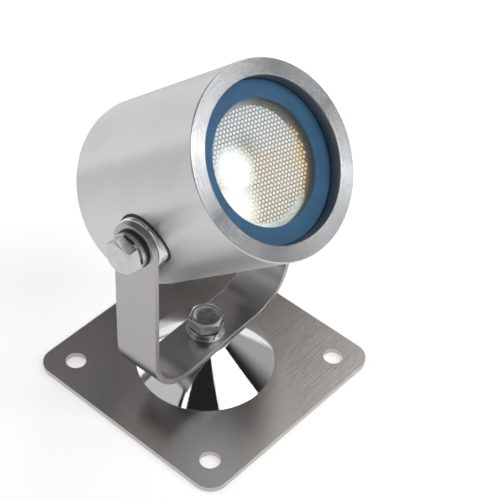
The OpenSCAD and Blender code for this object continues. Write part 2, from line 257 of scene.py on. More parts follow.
def hex_head(name, flats, height, matrix, body, hex_turn=0.0, washer_face=0.5, dish=0.2):
    """A cold-forged hexagon head: chamfered corners, a shallow dished crown and a washer face."""
    count = 144
    crown_r = flats / 2 * 0.94
    chamfer = math.tan(math.radians(30))

    def flat_r(t):
        t = (t - math.radians(hex_turn) + math.pi / 6) % (math.pi / 3) - math.pi / 6
        return flats / 2 / math.cos(t)

    # the hexagon's corners lie between the flats, so the samples are turned to meet them
    angles = [math.radians(hex_turn + 30) + 2 * math.pi * i / count for i in range(count)]
    bm = bmesh.new()

    def ring(radius, z):
        return [bm.verts.new((radius(t) * math.cos(t), radius(t) * math.sin(t), z(t))) for t in angles]

    edge = 0.25
    rings = [
        ring(lambda t: flats / 2 * 0.86, lambda t: 0.0),
        ring(lambda t: flats / 2 * 0.88, lambda t: washer_face),
        ring(lambda t: flat_r(t) - edge, lambda t: washer_face),
        ring(lambda t: flat_r(t), lambda t: washer_face + edge),
        ring(lambda t: flat_r(t), lambda t: height - (flat_r(t) - crown_r) * chamfer - 0.12),
        ring(lambda t: flat_r(t) - 0.1, lambda t: height - (flat_r(t) - 0.1 - crown_r) * chamfer),
        ring(lambda t: crown_r + 0.1, lambda t: height - 0.1 * chamfer),
        ring(lambda t: crown_r - 0.15, lambda t: height),
        ring(lambda t: crown_r - 0.9, lambda t: height),
        ring(lambda t: crown_r - 1.5, lambda t: height - dish * 0.8),
        ring(lambda t: crown_r - 2.4, lambda t: height - dish),
    ]
    bridge(bm, zip(rings, rings[1:]))
    bm.faces.new(rings[0])
    top = bm.verts.new((0, 0, height - dish))
    for i in range(count):
        bm.faces.new((rings[-1][i], rings[-1][(i + 1) % count], top))
    obj = smooth(new_object(name, bm, matrix), 24, weighted=False)
    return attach(obj, body)


def split_washer(name, r_in, r_out, thickness, matrix, body, gap_at=200.0):
    """A spring washer: one turn of square wire with a slanted gap, its ends a little apart."""
    steps = 110
    gap = 5.5
    rise = 0.12
    section = soften([(r_in, 0), (r_out, 0), (r_out, thickness - rise), (r_in, thickness - rise)], 0.16, 2)
    bm = bmesh.new()
    rings = []
    for i in range(steps + 1):
        along = i / steps
        ring = []
        for r, z in section:
            lean = (z / thickness - 0.5) * 8.0
            t = math.radians(gap_at + gap / 2 + (360 - gap) * along + lean)
            ring.append(bm.verts.new((r * math.cos(t), r * math.sin(t), z + rise * along)))
        rings.append(ring)
    bridge(bm, zip(rings, rings[1:]))
    bm.faces.new(rings[0])
    bm.faces.new(rings[-1])
    obj = smooth(new_object(name, bm, matrix), 40)
    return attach(obj, body)


def countersunk_head(name, r, head_r, depth, matrix, body):
    """A countersunk screw seen from its head, with a hexagon socket."""
    count = 72
    key_r = head_r * 0.42
    bm = bmesh.new()
    angles = [2 * math.pi * i / count for i in range(count)]

    def hexagon(t):
        t = (t + math.pi / 6) % (math.pi / 3) - math.pi / 6
        return key_r * math.cos(math.pi / 6) / math.cos(t)

    def ring(radius, z):
        return [bm.verts.new((radius(t) * math.cos(t), radius(t) * math.sin(t), z)) for t in angles]

    rings = [
        ring(lambda t: r, depth + 3.0),
        ring(lambda t: r, depth),
        ring(lambda t: head_r, 0.3),
        ring(lambda t: head_r, 0.1),
        ring(lambda t: head_r - 0.12, 0.0),
        ring(lambda t: hexagon(t) + 0.12, 0.0),
        ring(lambda t: hexagon(t), 0.14),
        ring(lambda t: hexagon(t), depth * 0.8),
    ]
    bridge(bm, zip(rings, rings[1:]))
    bm.faces.new(rings[0])
    bm.faces.new(rings[-1])
    obj = smooth(new_object(name, bm, matrix), 30)
    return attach(obj, body)


# ---- Materials -----------------------------------------------------------------------------

class Nodes:
    """A short way to write a material's node tree."""

    def __init__(self, name):
        self.material = bpy.data.materials.new(name)
        self.material.use_nodes = True
        self.tree = self.material.node_tree
        self.tree.nodes.clear()
        self.shader = self.add("ShaderNodeBsdfPrincipled")
        output = self.add("ShaderNodeOutputMaterial")
        self.link(self.shader.outputs[0], output.inputs["Surface"])

    def add(self, kind, **settings):
        node = self.tree.nodes.new(kind)
        for key, value in settings.items():
            setattr(node, key, value)
        return node

    def link(self, a, b):
        self.tree.links.new(a, b)

    def feed(self, socket, value):
        if isinstance(value, bpy.types.NodeSocket):
            self.link(value, socket)
        else:
            socket.default_value = value

    def math(self, operation, a, b=0.0, clamp=False):
        node = self.add("ShaderNodeMath", operation=operation, use_clamp=clamp)
        for socket, value in zip(node.inputs, (a, b)):
            self.feed(socket, value)
        return node.outputs[0]

    def vector_math(self, operation, a, b):
        node = self.add("ShaderNodeVectorMath", operation=operation)
        self.feed(node.inputs[0], a)
        self.feed(node.inputs[1], b)
        return node.outputs[0]

    def combine(self, x, y, z):
        node = self.add("ShaderNodeCombineXYZ")
        for socket, value in zip(node.inputs, (x, y, z)):
            self.feed(socket, value)
        return node.outputs[0]

    def split(self, vector):
        node = self.add("ShaderNodeSeparateXYZ")
        self.feed(node.inputs[0], vector)
        return node.outputs

    def coordinates(self):
        return self.add("ShaderNodeTexCoord").outputs["Object"]

    def noise(self, vector, scale=1.0, detail=3.0, roughness=0.55, distortion=0.0):
        node = self.add("ShaderNodeTexNoise")
        self.feed(node.inputs["Vector"], vector)
        node.inputs["Scale"].default_value = scale
        node.inputs["Detail"].default_value = detail
        node.inputs["Roughness"].default_value = roughness
        node.inputs["Distortion"].default_value = distortion
        return node.outputs["Fac"]

    def remap(self, value, low, high, to_low=0.0, to_high=1.0):
        node = self.add("ShaderNodeMapRange", clamp=True)
        for socket, v in zip(node.inputs, (value, low, high, to_low, to_high)):
            self.feed(socket, v)
        return node.outputs[0]

    def mix_color(self, factor, a, b):
        node = self.add("ShaderNodeMix", data_type="RGBA")
        self.feed(node.inputs[0], factor)
        self.feed(node.inputs[6], a)
        self.feed(node.inputs[7], b)
        return node.outputs[2]

    def ramp(self, factor, stops):
        node = self.add("ShaderNodeValToRGB")
        self.feed(node.inputs[0], factor)
        elements = node.color_ramp.elements
        while len(elements) < len(stops):
            elements.new(0.5)
        for element, (at, colour) in zip(elements, stops):
            element.position = at
            element.color = colour
        return node.outputs[0]

    def bump(self, height, strength, distance=0.02):
        node = self.add("ShaderNodeBump")
        node.inputs["Strength"].default_value = strength
        node.inputs["Distance"].default_value = distance
        self.feed(node.inputs["Height"], height)
        return node.outputs[0]

    def set(self, **values):
        """Feeds the shader's sockets by the short names below."""
        names = {"base": "Base Color", "metal": "Metallic", "rough": "Roughness",
                 "aniso": "Anisotropic", "aniso_turn": "Anisotropic Rotation", "coat": "Coat Weight",
                 "coat_rough": "Coat Roughness", "alpha": "Alpha", "normal": "Normal", "tangent": "Tangent",
                 "specular": "Specular IOR Level", "emission": "Emission Color",
                 "glow": "Emission Strength"}
        for key, value in values.items():
            self.feed(self.shader.inputs[names[key]], value)


def grey(value, warm=0.0):
    """A grey, or with warm above zero a slightly brown one."""
    return (value * (1 + warm), value, value * (1 - warm), 1.0)


def metal_surface(n, streak, coords, base, rough, warm, streak_bump):
    """Shared by the brushed steels: fine streaks, faint smudges and a slight colour drift."""
    smudges = n.noise(coords, 0.05, 3.0, 0.6)
    drift = n.noise(coords, 0.016, 2.0, 0.5, 0.4)
    tone = n.math("ADD", n.math("MULTIPLY", streak, 0.5), n.math("MULTIPLY", drift, 0.5))
    colour = n.ramp(tone, [(0.30, grey(base * 0.93, warm * 1.4)), (0.5, grey(base, warm)),
                           (0.70, grey(base * 1.05, warm * 0.6))])
    rough_value = n.math("ADD", rough, n.math("MULTIPLY", n.math("SUBTRACT", smudges, 0.5), 0.1))
    streaky = n.math("MULTIPLY", n.math("SUBTRACT", streak, 0.5), 0.08)
    rough_value = n.math("ADD", rough_value, streaky, clamp=True)
    n.set(base=colour, metal=1.0, rough=rough_value, normal=n.bump(streak, streak_bump, 0.01))
    return colour


def turned_steel(name, base=0.60, rough=0.30, aniso=0.75, warm=0.0, streak_bump=0.12, bore_r=0.0,
                 face_z=None):
    """Steel off a lathe: fine grooves round the local Z axis.

    Inside a bore of bore_r the colour is painted nearly black as painted shade, and a face at face_z is cut a
    little finer.
    """
    n = Nodes(name)
    coords = n.coordinates()
    x, y, z = n.split(coords)
    radius = n.math("SQRT", n.math("ADD", n.math("MULTIPLY", x, x), n.math("MULTIPLY", y, y)))
    angle = n.math("ARCTAN2", y, x)
    across = n.math("ADD", radius, z)
    around = n.combine(n.math("MULTIPLY", across, 2.4), n.math("MULTIPLY", n.math("COSINE", angle), 1.5),
                       n.math("MULTIPLY", n.math("SINE", angle), 1.5))
    streak = n.noise(around, 1.0, 5.0, 0.7)
    if face_z is not None:
        rough = n.remap(z, face_z - 0.5, face_z - 0.1, rough, rough * 0.85)
    colour = metal_surface(n, streak, coords, base, rough, warm, streak_bump)
    if bore_r:
        # painted shade: the bore wall and the surfaces inside its radius are darkened towards near black
        bore_painted_shade = n.remap(radius, bore_r + 0.05, bore_r + 0.5, 0.65, 0.0)
        n.set(base=n.mix_color(bore_painted_shade, colour, (0.02, 0.03, 0.04, 1)))
    tangent = n.add("ShaderNodeTangent", direction_type="RADIAL", axis="Z")
    n.set(aniso=aniso, aniso_turn=0.25, tangent=tangent.outputs[0])
    return n.material


def strip_steel(name, grain=(1.0, 30.0, 1.0), base=0.58, rough=0.32, warm=0.012, streak_bump=0.05,
                axis="X", aniso=0.5):
    """Satin strip or plate: the grain is long in two directions and fine across the third."""
    n = Nodes(name)
    coords = n.coordinates()
    stretched = n.vector_math("MULTIPLY", coords, grain)
    streak = n.noise(stretched, 0.11, 4.0, 0.6)
    metal_surface(n, streak, coords, base, rough, warm, streak_bump)
    tangent = n.add("ShaderNodeTangent", direction_type="RADIAL", axis=axis)
    n.set(aniso=aniso, tangent=tangent.outputs[0])
    return n.material


def polished_steel(name, base=0.70, rough=0.045, warm=0.0):
    """Buffed steel: near mirror, with hairline scratches and a faint haze."""
    n = Nodes(name)
    coords = n.coordinates()
    haze = n.noise(coords, 0.12, 3.0, 0.6)
    hairs = n.noise(n.vector_math("MULTIPLY", coords, (9.0, 0.7, 2.0)), 0.9, 2.0, 0.7)
    rough_value = n.math("ADD", rough, n.math("MULTIPLY", n.remap(haze, 0.45, 0.75), 0.03))
    rough_value = n.math("ADD", rough_value, n.math("MULTIPLY", n.remap(hairs, 0.62, 0.8), 0.03))
    colour = n.ramp(haze, [(0.3, grey(base * 0.96, warm)), (0.7, grey(base * 1.03, warm))])
    n.set(base=colour, metal=1.0, rough=rough_value, normal=n.bump(hairs, 0.012, 0.01))
    return n.material


def bolt_steel(name, base=0.62, rough=0.24, warm=0.01):
    """Cold-forged bright steel: small dents, tumbling marks and a varied gloss."""
    n = Nodes(name)
    coords = n.coordinates()
    dents = n.noise(coords, 0.25, 2.0, 0.5)
    marks = n.noise(coords, 2.6, 3.0, 0.7, 0.8)
    colour = n.ramp(dents, [(0.3, grey(base * 0.94, warm)), (0.55, grey(base, warm)),
                            (0.75, grey(base * 1.05))])
    rough_value = n.math("ADD", rough, n.math("MULTIPLY", n.math("SUBTRACT", marks, 0.5), 0.14), clamp=True)
    height = n.math("ADD", dents, n.math("MULTIPLY", marks, 0.08))
    n.set(base=colour, metal=1.0, rough=rough_value, normal=n.bump(height, 0.03, 0.02))
    return n.material


def rubber(name, base=0.018, rough=0.55):
    """Black rubber with a fine grain and a trace of dust."""
    n = Nodes(name)
    coords = n.coordinates()
    grain = n.noise(coords, 4.0, 4.0, 0.65)
    dust = n.noise(coords, 0.35, 3.0, 0.6)
    colour = n.ramp(dust, [(0.35, grey(base)), (0.75, grey(base * 2.2, 0.05))])
    rough_value = n.math("ADD", rough, n.math("MULTIPLY", n.math("SUBTRACT", dust, 0.5), 0.25))
    n.set(base=colour, rough=rough_value, normal=n.bump(grain, 0.3, 0.03), specular=0.45)
    return n.material


def blue_plastic(name):
    """Satin blue with a fine moulded grain, lighter specks and a slightly rubbed sheen."""
    n = Nodes(name)
    coords = n.coordinates()
    grain = n.noise(coords, 3.0, 4.0, 0.6)
    clouds = n.noise(coords, 0.12, 3.0, 0.6)
    specks = n.remap(n.noise(coords, 1.7, 2.0, 0.7), 0.70, 0.78)
    colour = n.ramp(clouds, [(0.3, (0.038, 0.132, 0.255, 1)), (0.55, (0.045, 0.153, 0.292, 1)),
                             (0.8, (0.053, 0.174, 0.325, 1))])
    colour = n.mix_color(n.math("MULTIPLY", specks, 0.12), colour, (0.25, 0.38, 0.5, 1))
    rough_value = n.math("ADD", 0.42, n.math("MULTIPLY", n.math("SUBTRACT", clouds, 0.5), 0.3))
    n.set(base=colour, rough=rough_value, normal=n.bump(grain, 0.12, 0.02), specular=0.4)
    return n.material


def moulded(name, colour, rough=0.4, variation=0.1, grain_strength=0.15):
    """Plastic, ceramic, lacquer or silicone: one tone that drifts a little, over a fine grain."""
    n = Nodes(name)
    coords = n.coordinates()
    drift = n.noise(coords, 0.2, 3.0, 0.6)
    grain = n.noise(coords, 3.5, 3.0, 0.6)
    dark = tuple(c * (1 - variation) for c in colour) + (1,)
    light = tuple(min(1, c * (1 + variation)) for c in colour) + (1,)
    rough_value = n.math("ADD", rough, n.math("MULTIPLY", n.math("SUBTRACT", drift, 0.5), 0.2))
    n.set(base=n.ramp(drift, [(0.3, dark), (0.7, light)]), rough=rough_value,
          normal=n.bump(grain, grain_strength, 0.02))
    return n.material


def moulded_metal(name, colour, rough=0.12):
    """A thin vapour coat on pressed glass: coloured, glossy, a little uneven."""
    n = Nodes(name)
    drift = n.noise(n.coordinates(), 0.3, 3.0, 0.6)
    deep = tuple(c * 0.7 for c in colour) + (1,)
    n.set(base=n.ramp(drift, [(0.3, deep), (0.7, colour + (1,))]), metal=1.0,
          rough=n.remap(drift, 0.2, 0.8, rough, rough + 0.1))
    return n.material


def clear_glass(name, clearness=0.90):
    """Clean flat glass: almost nothing but its gloss, with a faint film."""
    n = Nodes(name)
    film = n.noise(n.coordinates(), 0.15, 3.0, 0.6)
    n.set(base=(0.75, 0.85, 0.84, 1), rough=n.remap(film, 0.4, 0.8, 0.02, 0.08), specular=0.5,
          alpha=n.remap(film, 0.3, 0.8, 1 - clearness, 1.02 - clearness))
    return n.material


def paint(obj, material):
    """Gives a piece one material."""
    obj.data.materials.clear()
    obj.data.materials.append(material)
    return obj


def stands_for(objs, node, material):
    """Paints the pieces and hides the CAD node that they stand for."""
    for obj in objs:
        paint(obj, material)
        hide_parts(node)


MAT = {
    "housing": turned_steel("housing_steel", base=0.62, rough=0.30, aniso=0.85, warm=-0.02,
                            bore_r=reach("blue_lens_ring", BEAM) + 0.1,
                            face_z=span("lamp_housing", BEAM)[1]),
    "cover": turned_steel("cover_steel", base=0.57, rough=0.28, aniso=0.7),
    "plate": strip_steel("plate_steel", grain=(1.0, 26.0, 1.0), base=0.48, rough=0.22, warm=0.035, axis="X",
                         aniso=0.3),
    "yoke": strip_steel("yoke_steel", grain=(1.0, 1.0, 26.0), base=0.39, rough=0.30, warm=0.02, axis="Y",
                        aniso=0.3),
    "cone": polished_steel("cone_steel", base=0.74, rough=0.02),
    "boss": polished_steel("boss_steel", base=0.68, rough=0.15),
    "reflector": moulded_metal("dichroic_coat", (0.62, 0.44, 0.22), 0.12),
    "silicone": moulded("clear_silicone", (0.66, 0.71, 0.71), 0.3, 0.06, 0.1),
    "bolt": bolt_steel("bolt_steel", base=0.53),
    "nickel": turned_steel("gland_nickel", base=0.62, rough=0.2, aniso=0.4, warm=0.03, streak_bump=0.1),
    "rubber": rubber("black_rubber"),
    "blue": blue_plastic("blue_ring"),
    "glass": clear_glass("front_glass"),
    "ceramic": moulded("white_ceramic", (0.78, 0.77, 0.72), 0.5, 0.05, 0.3),
    "board": moulded("green_board", (0.02, 0.14, 0.06), 0.3, 0.2),
    "lead": moulded("lead_silicone", (0.45, 0.04, 0.03), 0.45),
    "black": moulded("black_parts", (0.03, 0.03, 0.032), 0.4),
    "brass": turned_steel("spacer_brass", base=0.5, rough=0.25, warm=0.35),
}


# ---- Base ----------------------------------------------------------------------------------

def rounded_square(half, radius, steps=14):
    """A square outline of half-width half, its corners rounded."""
    outline = []
    for k, (sx, sy) in enumerate([(1, 1), (-1, 1), (-1, -1), (1, -1)]):
        for i in range(steps + 1):
            t = math.pi / 2 * (k + i / steps)
            outline.append((sx * (half - radius) + radius * math.cos(t),
                            sy * (half - radius) + radius * math.sin(t)))
    return outline


def make_base_plate():
    """The satin square plate with its four fixing holes and broken edges."""
    half = span("base_plate", BASE, 0)[1]
    top = span("base_plate", BASE)[1]
    corner_r = 8.0
    dims = MOUNTS["base_holes"]["dims"]
    plate = extrude("base_plate_satin", rounded_square(half, corner_r), 0, top, BASE)
    for sx in (-1, 1):
        for sy in (-1, 1):
            centre = (sx * dims["spacing_x_mm"] / 2, sy * dims["spacing_y_mm"] / 2)
            hole = extrude("hole", circle_points(dims["hole_r_mm"], 72, centre), -1, top + 1, BASE)
            boolean(plate, hole, "DIFFERENCE")
    bevel(plate, 0.55, 4)
    smooth(plate, 40)
    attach(plate, "base")
    stands_for([plate], "base_plate", MAT["plate"])


def make_cone():
    """The mirror-polished cone, turned finely so that its reflections stay even."""
    z0, z1 = span("cone_pedestal", BASE)
    foot_r = reach("cone_pedestal", BASE, (z0 - 1, z0 + 1))
    top_r = reach("cone_pedestal", BASE, (z1 - 1, z1 + 1))
    outline = soften([(0, z0, 0), (foot_r, z0, 0.12), (top_r, z1, 0.5), (0, z1, 0)], 0.3, 5)
    cone = lathe("cone_polished", outline, BASE, "base", segments=256, closed=False)
    stands_for([cone], "cone_pedestal", MAT["cone"])


def make_yoke_bolt():
    """The bolt through the yoke into the cone, with its split washer and flat washer."""
    z0, z1 = span("yoke_flat_washer", BASE)
    washer_r = reach("yoke_flat_washer", BASE)
    washer = lathe("yoke_flat_washer_turned", tube_profile(4.2, washer_r, z0, z1, 0.25), BASE, "base")
    stands_for([washer], "yoke_flat_washer", MAT["bolt"])
    z0, z1 = span("yoke_spring_washer", BASE)
    spring = split_washer("yoke_spring_washer_split", 4.15, reach("yoke_spring_washer", BASE), z1 - z0,
                          BASE @ shift(z=z0), "base", 250)
    stands_for([spring], "yoke_spring_washer", MAT["boss"])
    top = span("yoke_bolt", BASE)[1]
    head = hex_head("yoke_bolt_head", HEX_FLATS, top - z1, BASE @ shift(z=z1), "base", YOKE_HEX_TURN)
    shank = lathe("yoke_bolt_shank", soften([
        (0, 4, 0), (SHANK_R - 0.4, 4), (SHANK_R, 4.4), (SHANK_R, z1, 0), (0, z1, 0)], 0.1, 2),
                  BASE, "base", 64, closed=False)
    stands_for([head, shank], "yoke_bolt", MAT["bolt"])


# ---- Yoke ----------------------------------------------------------------------------------

def make_yoke():
    """One bent strip: two arms with rounded tops, drilled for the pivots and for the yoke bolt."""
    half_span = span("yoke", YOKE, 0)[1]
    half_width = span("yoke", YOKE, 1)[1]
    floor = span("yoke", YOKE)[0]
    strip_t = 2.5
    bend_out = 21.5
    pivot_z = tilt_pos.z / MM
    top = pivot_z + half_width
    steps = 20

    def path(inset):
        """One side of the strip, seen along Y, from the top of one arm to the top of the other."""
        x, r = half_span - inset, bend_out - inset
        z = floor + inset
        pts = [(-x, top)]
        pts += [(-x + r - r * math.cos(t), z + r - r * math.sin(t))
                for t in (math.pi / 2 * i / steps for i in range(steps + 1))]
        pts += [(x - r + r * math.sin(t), z + r - r * math.cos(t))
                for t in (math.pi / 2 * i / steps for i in range(steps + 1))]
        return pts + [(x, top)]

    outline = path(0) + path(strip_t)[::-1]
    side_view = YOKE @ turn(90, "X")
    yoke = extrude("yoke_strip", outline, -half_width, half_width, side_view)
    # the arms' tops are rounded about the tilt axis
    keep = [(-half_width, -1), (half_width, -1)]
    keep += [(half_width * math.cos(t), pivot_z + half_width * math.sin(t))
             for t in (math.pi * i / 64 for i in range(65))]
    along_x = YOKE @ Matrix(((0, 0, 1, 0), (1, 0, 0, 0), (0, 1, 0, 0), (0, 0, 0, 1)))
    boolean(yoke, extrude("keep", keep, -half_span - 1, half_span + 1, along_x), "INTERSECT")
    hole_r = SHANK_R + 0.08
    hole = extrude("hole", circle_points(hole_r, 72, (0, pivot_z)), -half_span - 1, half_span + 1, along_x)
    boolean(yoke, hole, "DIFFERENCE")
    hole = extrude("hole", circle_points(hole_r, 72), floor - 1, floor + strip_t + 1, YOKE)
    boolean(yoke, hole, "DIFFERENCE")
    bevel(yoke, 0.32, 3)
    smooth(yoke, 40)
    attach(yoke, "yoke")
    stands_for([yoke], "yoke", MAT["yoke"])


# ---- Housing -------------------------------------------------------------------------------

def make_housing():
    """The turned tube with its wide front rim; returns its outer radius."""
    rear, front = span("lamp_housing", BEAM)
    r = reach("lamp_housing", BEAM)
    mouth_r = reach("blue_lens_ring", BEAM) + 0.1
    shoulder = span("glass_seal", BEAM)[0]
    shoulder_r = reach("lamp_cushion", BEAM) + 0.05
    cover_r = reach("rear_cover", BEAM) + 0.02
    cover_front = span("rear_cover", BEAM)[1]
    chamber_r = r - 3.75
    flange_r = 26.0
    flange_front = cover_front + 3.5
    neck = shoulder - 3
    outline = soften([
        (mouth_r, shoulder, 0.1), (mouth_r, front, 0.55), (r, front, 0.6), (r, rear, 0.5),
        (cover_r, rear, 0.3), (cover_r, cover_front, 0.1), (flange_r, cover_front, 0.1),
        (flange_r, flange_front, 0.2), (chamber_r, flange_front, 0.1),
        (chamber_r, neck, 0.1), (shoulder_r, neck, 0.1), (shoulder_r, shoulder, 0.2)], 0.2, 5)
    housing = lathe("lamp_housing_turned", outline, BEAM, "head", segments=256)
    stands_for([housing], "lamp_housing", MAT["housing"])
    return r


def make_pivots(body_r):
    """Boss, seal, washers and bolt at each end of the tilt axis."""
    pieces = {"pivot_bosses": [], "boss_seals": [], "pivot_rubber_washers": [],
              "pivot_spring_washers": [], "pivot_bolts": []}
    for side, matrix in PIVOTS.items():
        sign = 1 if side == "right" else -1
        face = span("pivot_bosses", HEAD, 0)[1]
        boss_r = reach("pivot_bosses", matrix)
        seal_r = reach("boss_seals", matrix)
        # both the boss and its seal stand on the round housing, so they start inside its wall
        root, bore_r = 31.5, SHANK_R + 0.02
        boss = lathe("pivot_boss_" + side, soften([
            (bore_r, root, 0), (boss_r, root, 0), (boss_r, face, 0.7), (bore_r, face, 0.2)], 0.2, 5),
                     matrix, "head", 128)
        seal = saddle_ring("boss_seal_" + side, boss_r - 0.2, seal_r, body_r, 0.42, matrix)
        z0, z1 = sorted(abs(v) for v in span("pivot_rubber_washers", HEAD, 0, sign))
        rubber_r = reach("pivot_rubber_washers", matrix)
        rubber_washer = lathe("pivot_rubber_washer_" + side, tube_profile(4.1, rubber_r, z0, z1, 0.25),
                              matrix, "head")
        spring_r = reach("pivot_spring_washers", matrix)
        head_z = max(abs(v) for v in span("pivot_spring_washers", HEAD, 0, sign))
        spring = split_washer("pivot_spring_washer_" + side, 4.15, spring_r, head_z - z1,
                              matrix @ shift(z=z1), "head", 120)
        top = span("pivot_bolts", HEAD, 0)[1]
        head = hex_head("pivot_bolt_head_" + side, HEX_FLATS, top - head_z, matrix @ shift(z=head_z),
                        "head", PIVOT_HEX_TURN)
        shank = lathe("pivot_bolt_shank_" + side, soften([
            (0, face - 6, 0), (SHANK_R, face - 6), (SHANK_R, head_z, 0), (0, head_z, 0)], 0.3, 2),
                      matrix, "head", 64, closed=False)
        for key, made in (("pivot_bosses", [boss]), ("boss_seals", [seal]), ("pivot_bolts", [head, shank]),
                          ("pivot_rubber_washers", [rubber_washer]), ("pivot_spring_washers", [spring])):
            pieces[key] += made
    stands_for(pieces["pivot_bosses"], "pivot_bosses", MAT["boss"])
    stands_for(pieces["boss_seals"], "boss_seals", MAT["rubber"])
    stands_for(pieces["pivot_rubber_washers"], "pivot_rubber_washers", MAT["rubber"])
    stands_for(pieces["pivot_spring_washers"], "pivot_spring_washers", MAT["bolt"])
    stands_for(pieces["pivot_bolts"], "pivot_bolts", MAT["bolt"])


def saddle_ring(name, r_in, r_out, body_r, thickness, matrix):
    """A rubber ring that lies on the round housing. The housing's axis is the local X axis, lifted."""
    count = 144
    bm = bmesh.new()
    to_beam = BEAM.inverted() @ matrix

    def height(x, y, grow):
        """Height over the tilt axis of the housing's surface, raised by grow, at a local x and y."""
        lift = (to_beam @ Vector((x, y, 0))).y
        return math.sqrt((body_r + grow) ** 2 - lift ** 2)

    section = [(r_in, -0.4), (r_out, -0.4), (r_out, thickness * 0.55), (r_out - 0.12, thickness * 0.9),
               (r_out - 0.3, thickness), (r_in, thickness)]
    rings = []
    for r, grow in section:
        ring = []
        for i in range(count):
            t = 2 * math.pi * i / count
            x, y = r * math.cos(t), r * math.sin(t)
            ring.append(bm.verts.new((x, y, height(x, y, grow))))
        rings.append(ring)
    bridge(bm, zip(rings, rings[1:] + rings[:1]))
    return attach(smooth(new_object(name, bm, matrix), 50), "head")


# ---- Front ---------------------------------------------------------------------------------

def make_front():
    """The blue ring, the front glass under it, and the rubber and silicone rings behind the glass."""
    back, front = span("blue_lens_ring", BEAM)
    r_out = reach("blue_lens_ring", BEAM)
    glass_back, glass_front = span("front_glass", BEAM)
    window_r = 23.25
    glass_r = reach("front_glass", BEAM)
    ring = lathe("blue_lens_ring_moulded", soften([
        (window_r, glass_front, 0.1), (window_r, front, 0.35), (r_out, front, 0.35), (r_out, back, 0.2),
        (glass_r + 0.1, back, 0.1), (glass_r + 0.1, glass_front, 0.1)], 0.2, 4), BEAM, "head", 200)
    stands_for([ring], "blue_lens_ring", MAT["blue"])
    glass = lathe("front_glass_disc", soften([(0, glass_back, 0), (glass_r, glass_back, 0.3),
                                              (glass_r, glass_front, 0.3), (0, glass_front, 0)], 0.3, 3),
                  BEAM, "head", 160, closed=False)
    stands_for([glass], "front_glass", MAT["glass"])
    z0, z1 = span("glass_seal", BEAM)
    cushion_r = reach("lamp_cushion", BEAM)
    seal = lathe("glass_seal_ring", tube_profile(cushion_r + 0.45, glass_r - 0.1, z0, z1, 0.5, 5),
                 BEAM, "head", 160)
    stands_for([seal], "glass_seal", MAT["rubber"])
    z0, z1 = span("lamp_cushion", BEAM)
    cushion = lathe("lamp_cushion_ring", tube_profile(25.05, cushion_r, z0, z1, 0.4, 4), BEAM, "head", 160)
    stands_for([cushion], "lamp_cushion", MAT["silicone"])


def lens_material(foot_z, tip_z, bright_r):
    """Pressed glass over a bright bowl, its light painted in: painted white highlights on cream, painted shade
    darker in the valleys, painted shade and golden glints at the rim, and a faint painted glow.
    """
    n = Nodes("lens_glass")
    coords = n.coordinates()
    x, y, z = n.split(coords)
    fleck = n.noise(coords, 0.45, 2.0, 0.6)
    wander = n.math("MULTIPLY", n.math("SUBTRACT", fleck, 0.5), 5.0)
    radius = n.math("SQRT", n.math("ADD", n.math("MULTIPLY", x, x), n.math("MULTIPLY", y, y)))

    def spot(cx, cy, inner, outer):
        """One in the middle of a soft round patch, nothing outside it."""
        far = n.math("SQRT", n.math("ADD", n.math("POWER", n.math("SUBTRACT", x, cx), 2.0),
                                    n.math("POWER", n.math("SUBTRACT", y, cy), 2.0)))
        return n.remap(n.math("ADD", far, wander), outer, inner)

    # painted light: the lens is painted cool towards the top and cream towards the bottom
    tone = n.mix_color(n.remap(y, 10.0, -10.0), (0.78, 0.80, 0.82, 1), (0.88, 0.80, 0.66, 1))
    tone = n.mix_color(n.remap(fleck, 0.35, 0.65, 0.15, 0.0), tone, (0.50, 0.47, 0.42, 1))
    # painted reflections: a warm glint near the middle and a darker olive patch above it
    tone = n.mix_color(n.math("MULTIPLY", spot(1.9, 0.7, 2, 8), 0.6), tone, (0.86, 0.66, 0.52, 1))
    tone = n.mix_color(n.math("MULTIPLY", spot(-0.6, 8.0, 1, 7), 0.7), tone, (0.46, 0.46, 0.36, 1))
    # painted highlight: white hot spots at the left and the lower left of the lens
    white = n.math("MAXIMUM", spot(-10.5, 3.0, 4, 10.5), n.math("MULTIPLY", spot(-18, -8, 4, 13), 0.9))
    # painted shade in the valleys between the prisms, left out under the painted highlight
    painted_valley_shade = n.math("MULTIPLY", n.remap(z, foot_z + 0.40, foot_z + 0.08), n.remap(white, 0.9, 0.2))
    tone = n.mix_color(n.math("MULTIPLY", painted_valley_shade, 0.9), tone, (0.13, 0.13, 0.12, 1))
    tone = n.mix_color(white, tone, (1, 1, 0.98, 1))
    # outside the bright bowl, painted light: grey-green painted shade above, brown painted shade at the upper
    # right, painted golden glints on the prism tips at the right, pale below and at the left
    edge = n.remap(n.math("ADD", radius, n.math("MULTIPLY", wander, 0.08)), bright_r - 0.3, bright_r + 0.3)
    above = n.mix_color(n.remap(x, 6.0, 14.0), (0.27, 0.31, 0.30, 1), (0.10, 0.085, 0.06, 1))
    painted_gold_glints = n.mix_color(n.remap(z, foot_z + 0.1, foot_z + 0.45),
                       (0.16, 0.09, 0.03, 1), (0.92, 0.62, 0.24, 1))
    rim = n.mix_color(n.remap(y, 7.0, 1.0), above, painted_gold_glints)
    below = n.mix_color(n.remap(x, 14.0, 9.0), rim, (0.62, 0.66, 0.64, 1))
    rim = n.mix_color(n.remap(y, -10.0, -15.0), rim, below)
    rim = n.mix_color(n.remap(x, -4.0, -10.0), rim, (0.80, 0.82, 0.82, 1))
    tone = n.mix_color(edge, tone, rim)
    # painted glints: gold on the prism tips near the right edge
    painted_gold_glint_spot = n.math("MULTIPLY", spot(20.5, -8, 2, 7.5), n.remap(z, tip_z - 0.45, tip_z - 0.1))
    tone = n.mix_color(n.math("MULTIPLY", painted_gold_glint_spot, 0.85), tone, (0.95, 0.66, 0.26, 1))
    # painted glow: the lens gives off its own painted colour as light, which makes it look whiter
    n.set(base=tone, rough=0.16, metal=0.2, coat=0.4, coat_rough=0.06, emission=tone, glow=0.46,
          normal=n.bump(n.noise(coords, 2.0, 2.0, 0.6), 0.04, 0.02))
    return n.material


